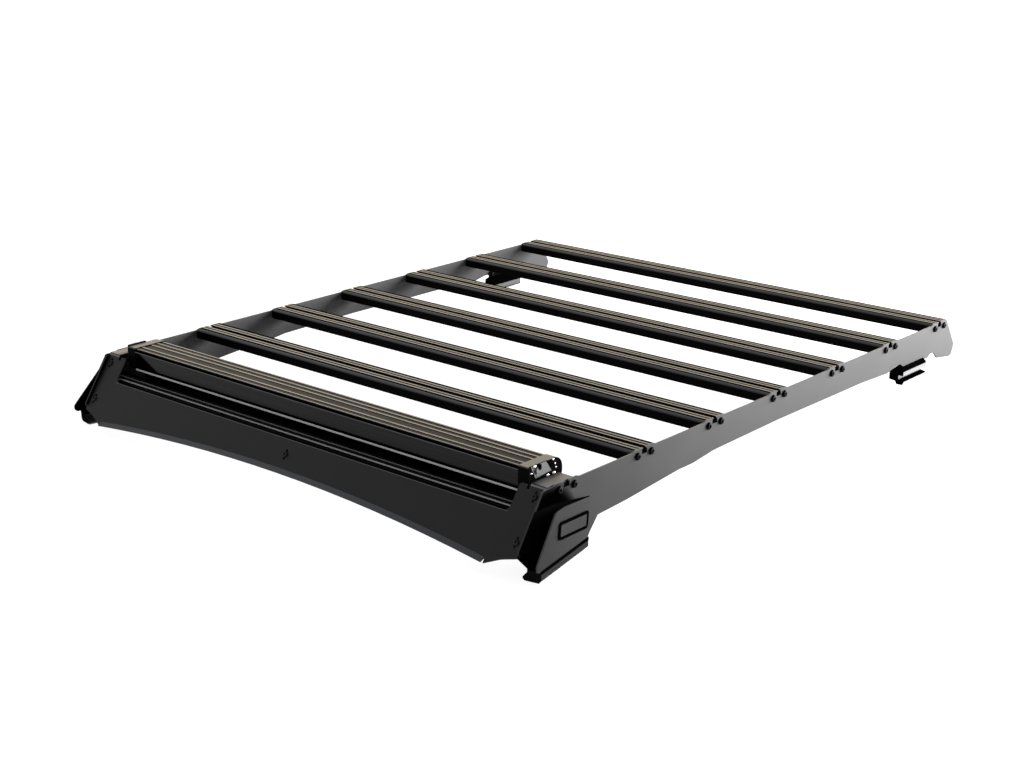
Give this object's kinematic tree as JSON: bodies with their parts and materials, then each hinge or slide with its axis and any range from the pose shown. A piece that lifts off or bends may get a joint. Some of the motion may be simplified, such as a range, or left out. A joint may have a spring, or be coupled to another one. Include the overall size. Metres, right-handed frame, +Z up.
{
  "type": "flat platform roof rack",
  "caption": "Flat platform roof rack: two side panels, slotted cross slats, a leaning front wind fairing with a light bar in its notch, and clamp feet at the corners.",
  "frame": {"origin": "middle of the footprint, on the ground under the feet", "axes": "+X to the right-hand side, +Z up, -Y towards the front fairing"},
  "size_m": [1.3344, 1.5908, 0.177],
  "materials": {
    "powder_coat": "fine textured satin black powder coat",
    "slat_coat": "satin black powder coat over extruded aluminium",
    "bar_housing": "satin black coated die casting",
    "lens": "clear lens over a dark reflector",
    "black_plastic": "moulded matt black",
    "black_rubber": "matt moulded rubber",
    "rail_aluminium": "extruded mill finish",
    "bolt_steel": "black oxide",
    "badge_face": "bare satin plate with a dark border"
  },
  "bodies": {
    "root": {"slat_1": "slat_coat", "slat_2": "slat_coat", "slat_3": "slat_coat", "slat_4": "slat_coat", "slat_5": "slat_coat", "slat_6": "slat_coat", "front_cross_slat": "slat_coat", "wind_fairing": "powder_coat", "fairing_stay": "powder_coat", "light_bar_housing": "bar_housing", "light_bar_lens": "lens", "side_panel_left": "powder_coat", "side_panel_right": "powder_coat", "front_corner_plate_left": "powder_coat", "front_corner_plate_right": "powder_coat", "light_bar_bracket_left": "powder_coat", "light_bar_bracket_right": "powder_coat", "front_foot_bracket_left": "powder_coat", "front_foot_bracket_right": "powder_coat", "rear_foot_bracket_left": "powder_coat", "rear_foot_bracket_right": "powder_coat", "badge_plate_left": "badge_face", "badge_plate_right": "badge_face", "light_bar_cap_left": "black_plastic", "light_bar_cap_right": "black_plastic", "front_foot_gasket_left": "black_rubber", "front_foot_gasket_right": "black_rubber", "front_foot_pad_left": "black_rubber", "front_foot_pad_right": "black_rubber", "rear_foot_gasket_left": "black_rubber", "rear_foot_gasket_right": "black_rubber", "rear_foot_pad_left": "black_rubber", "rear_foot_pad_right": "black_rubber", "front_foot_rail_left": "rail_aluminium", "front_foot_rail_right": "rail_aluminium", "rear_foot_rail_left": "rail_aluminium", "rear_foot_rail_right": "rail_aluminium", "light_bar_pivot_left": "bolt_steel", "light_bar_pivot_right": "bolt_steel"}
  },
  "joints": []
}
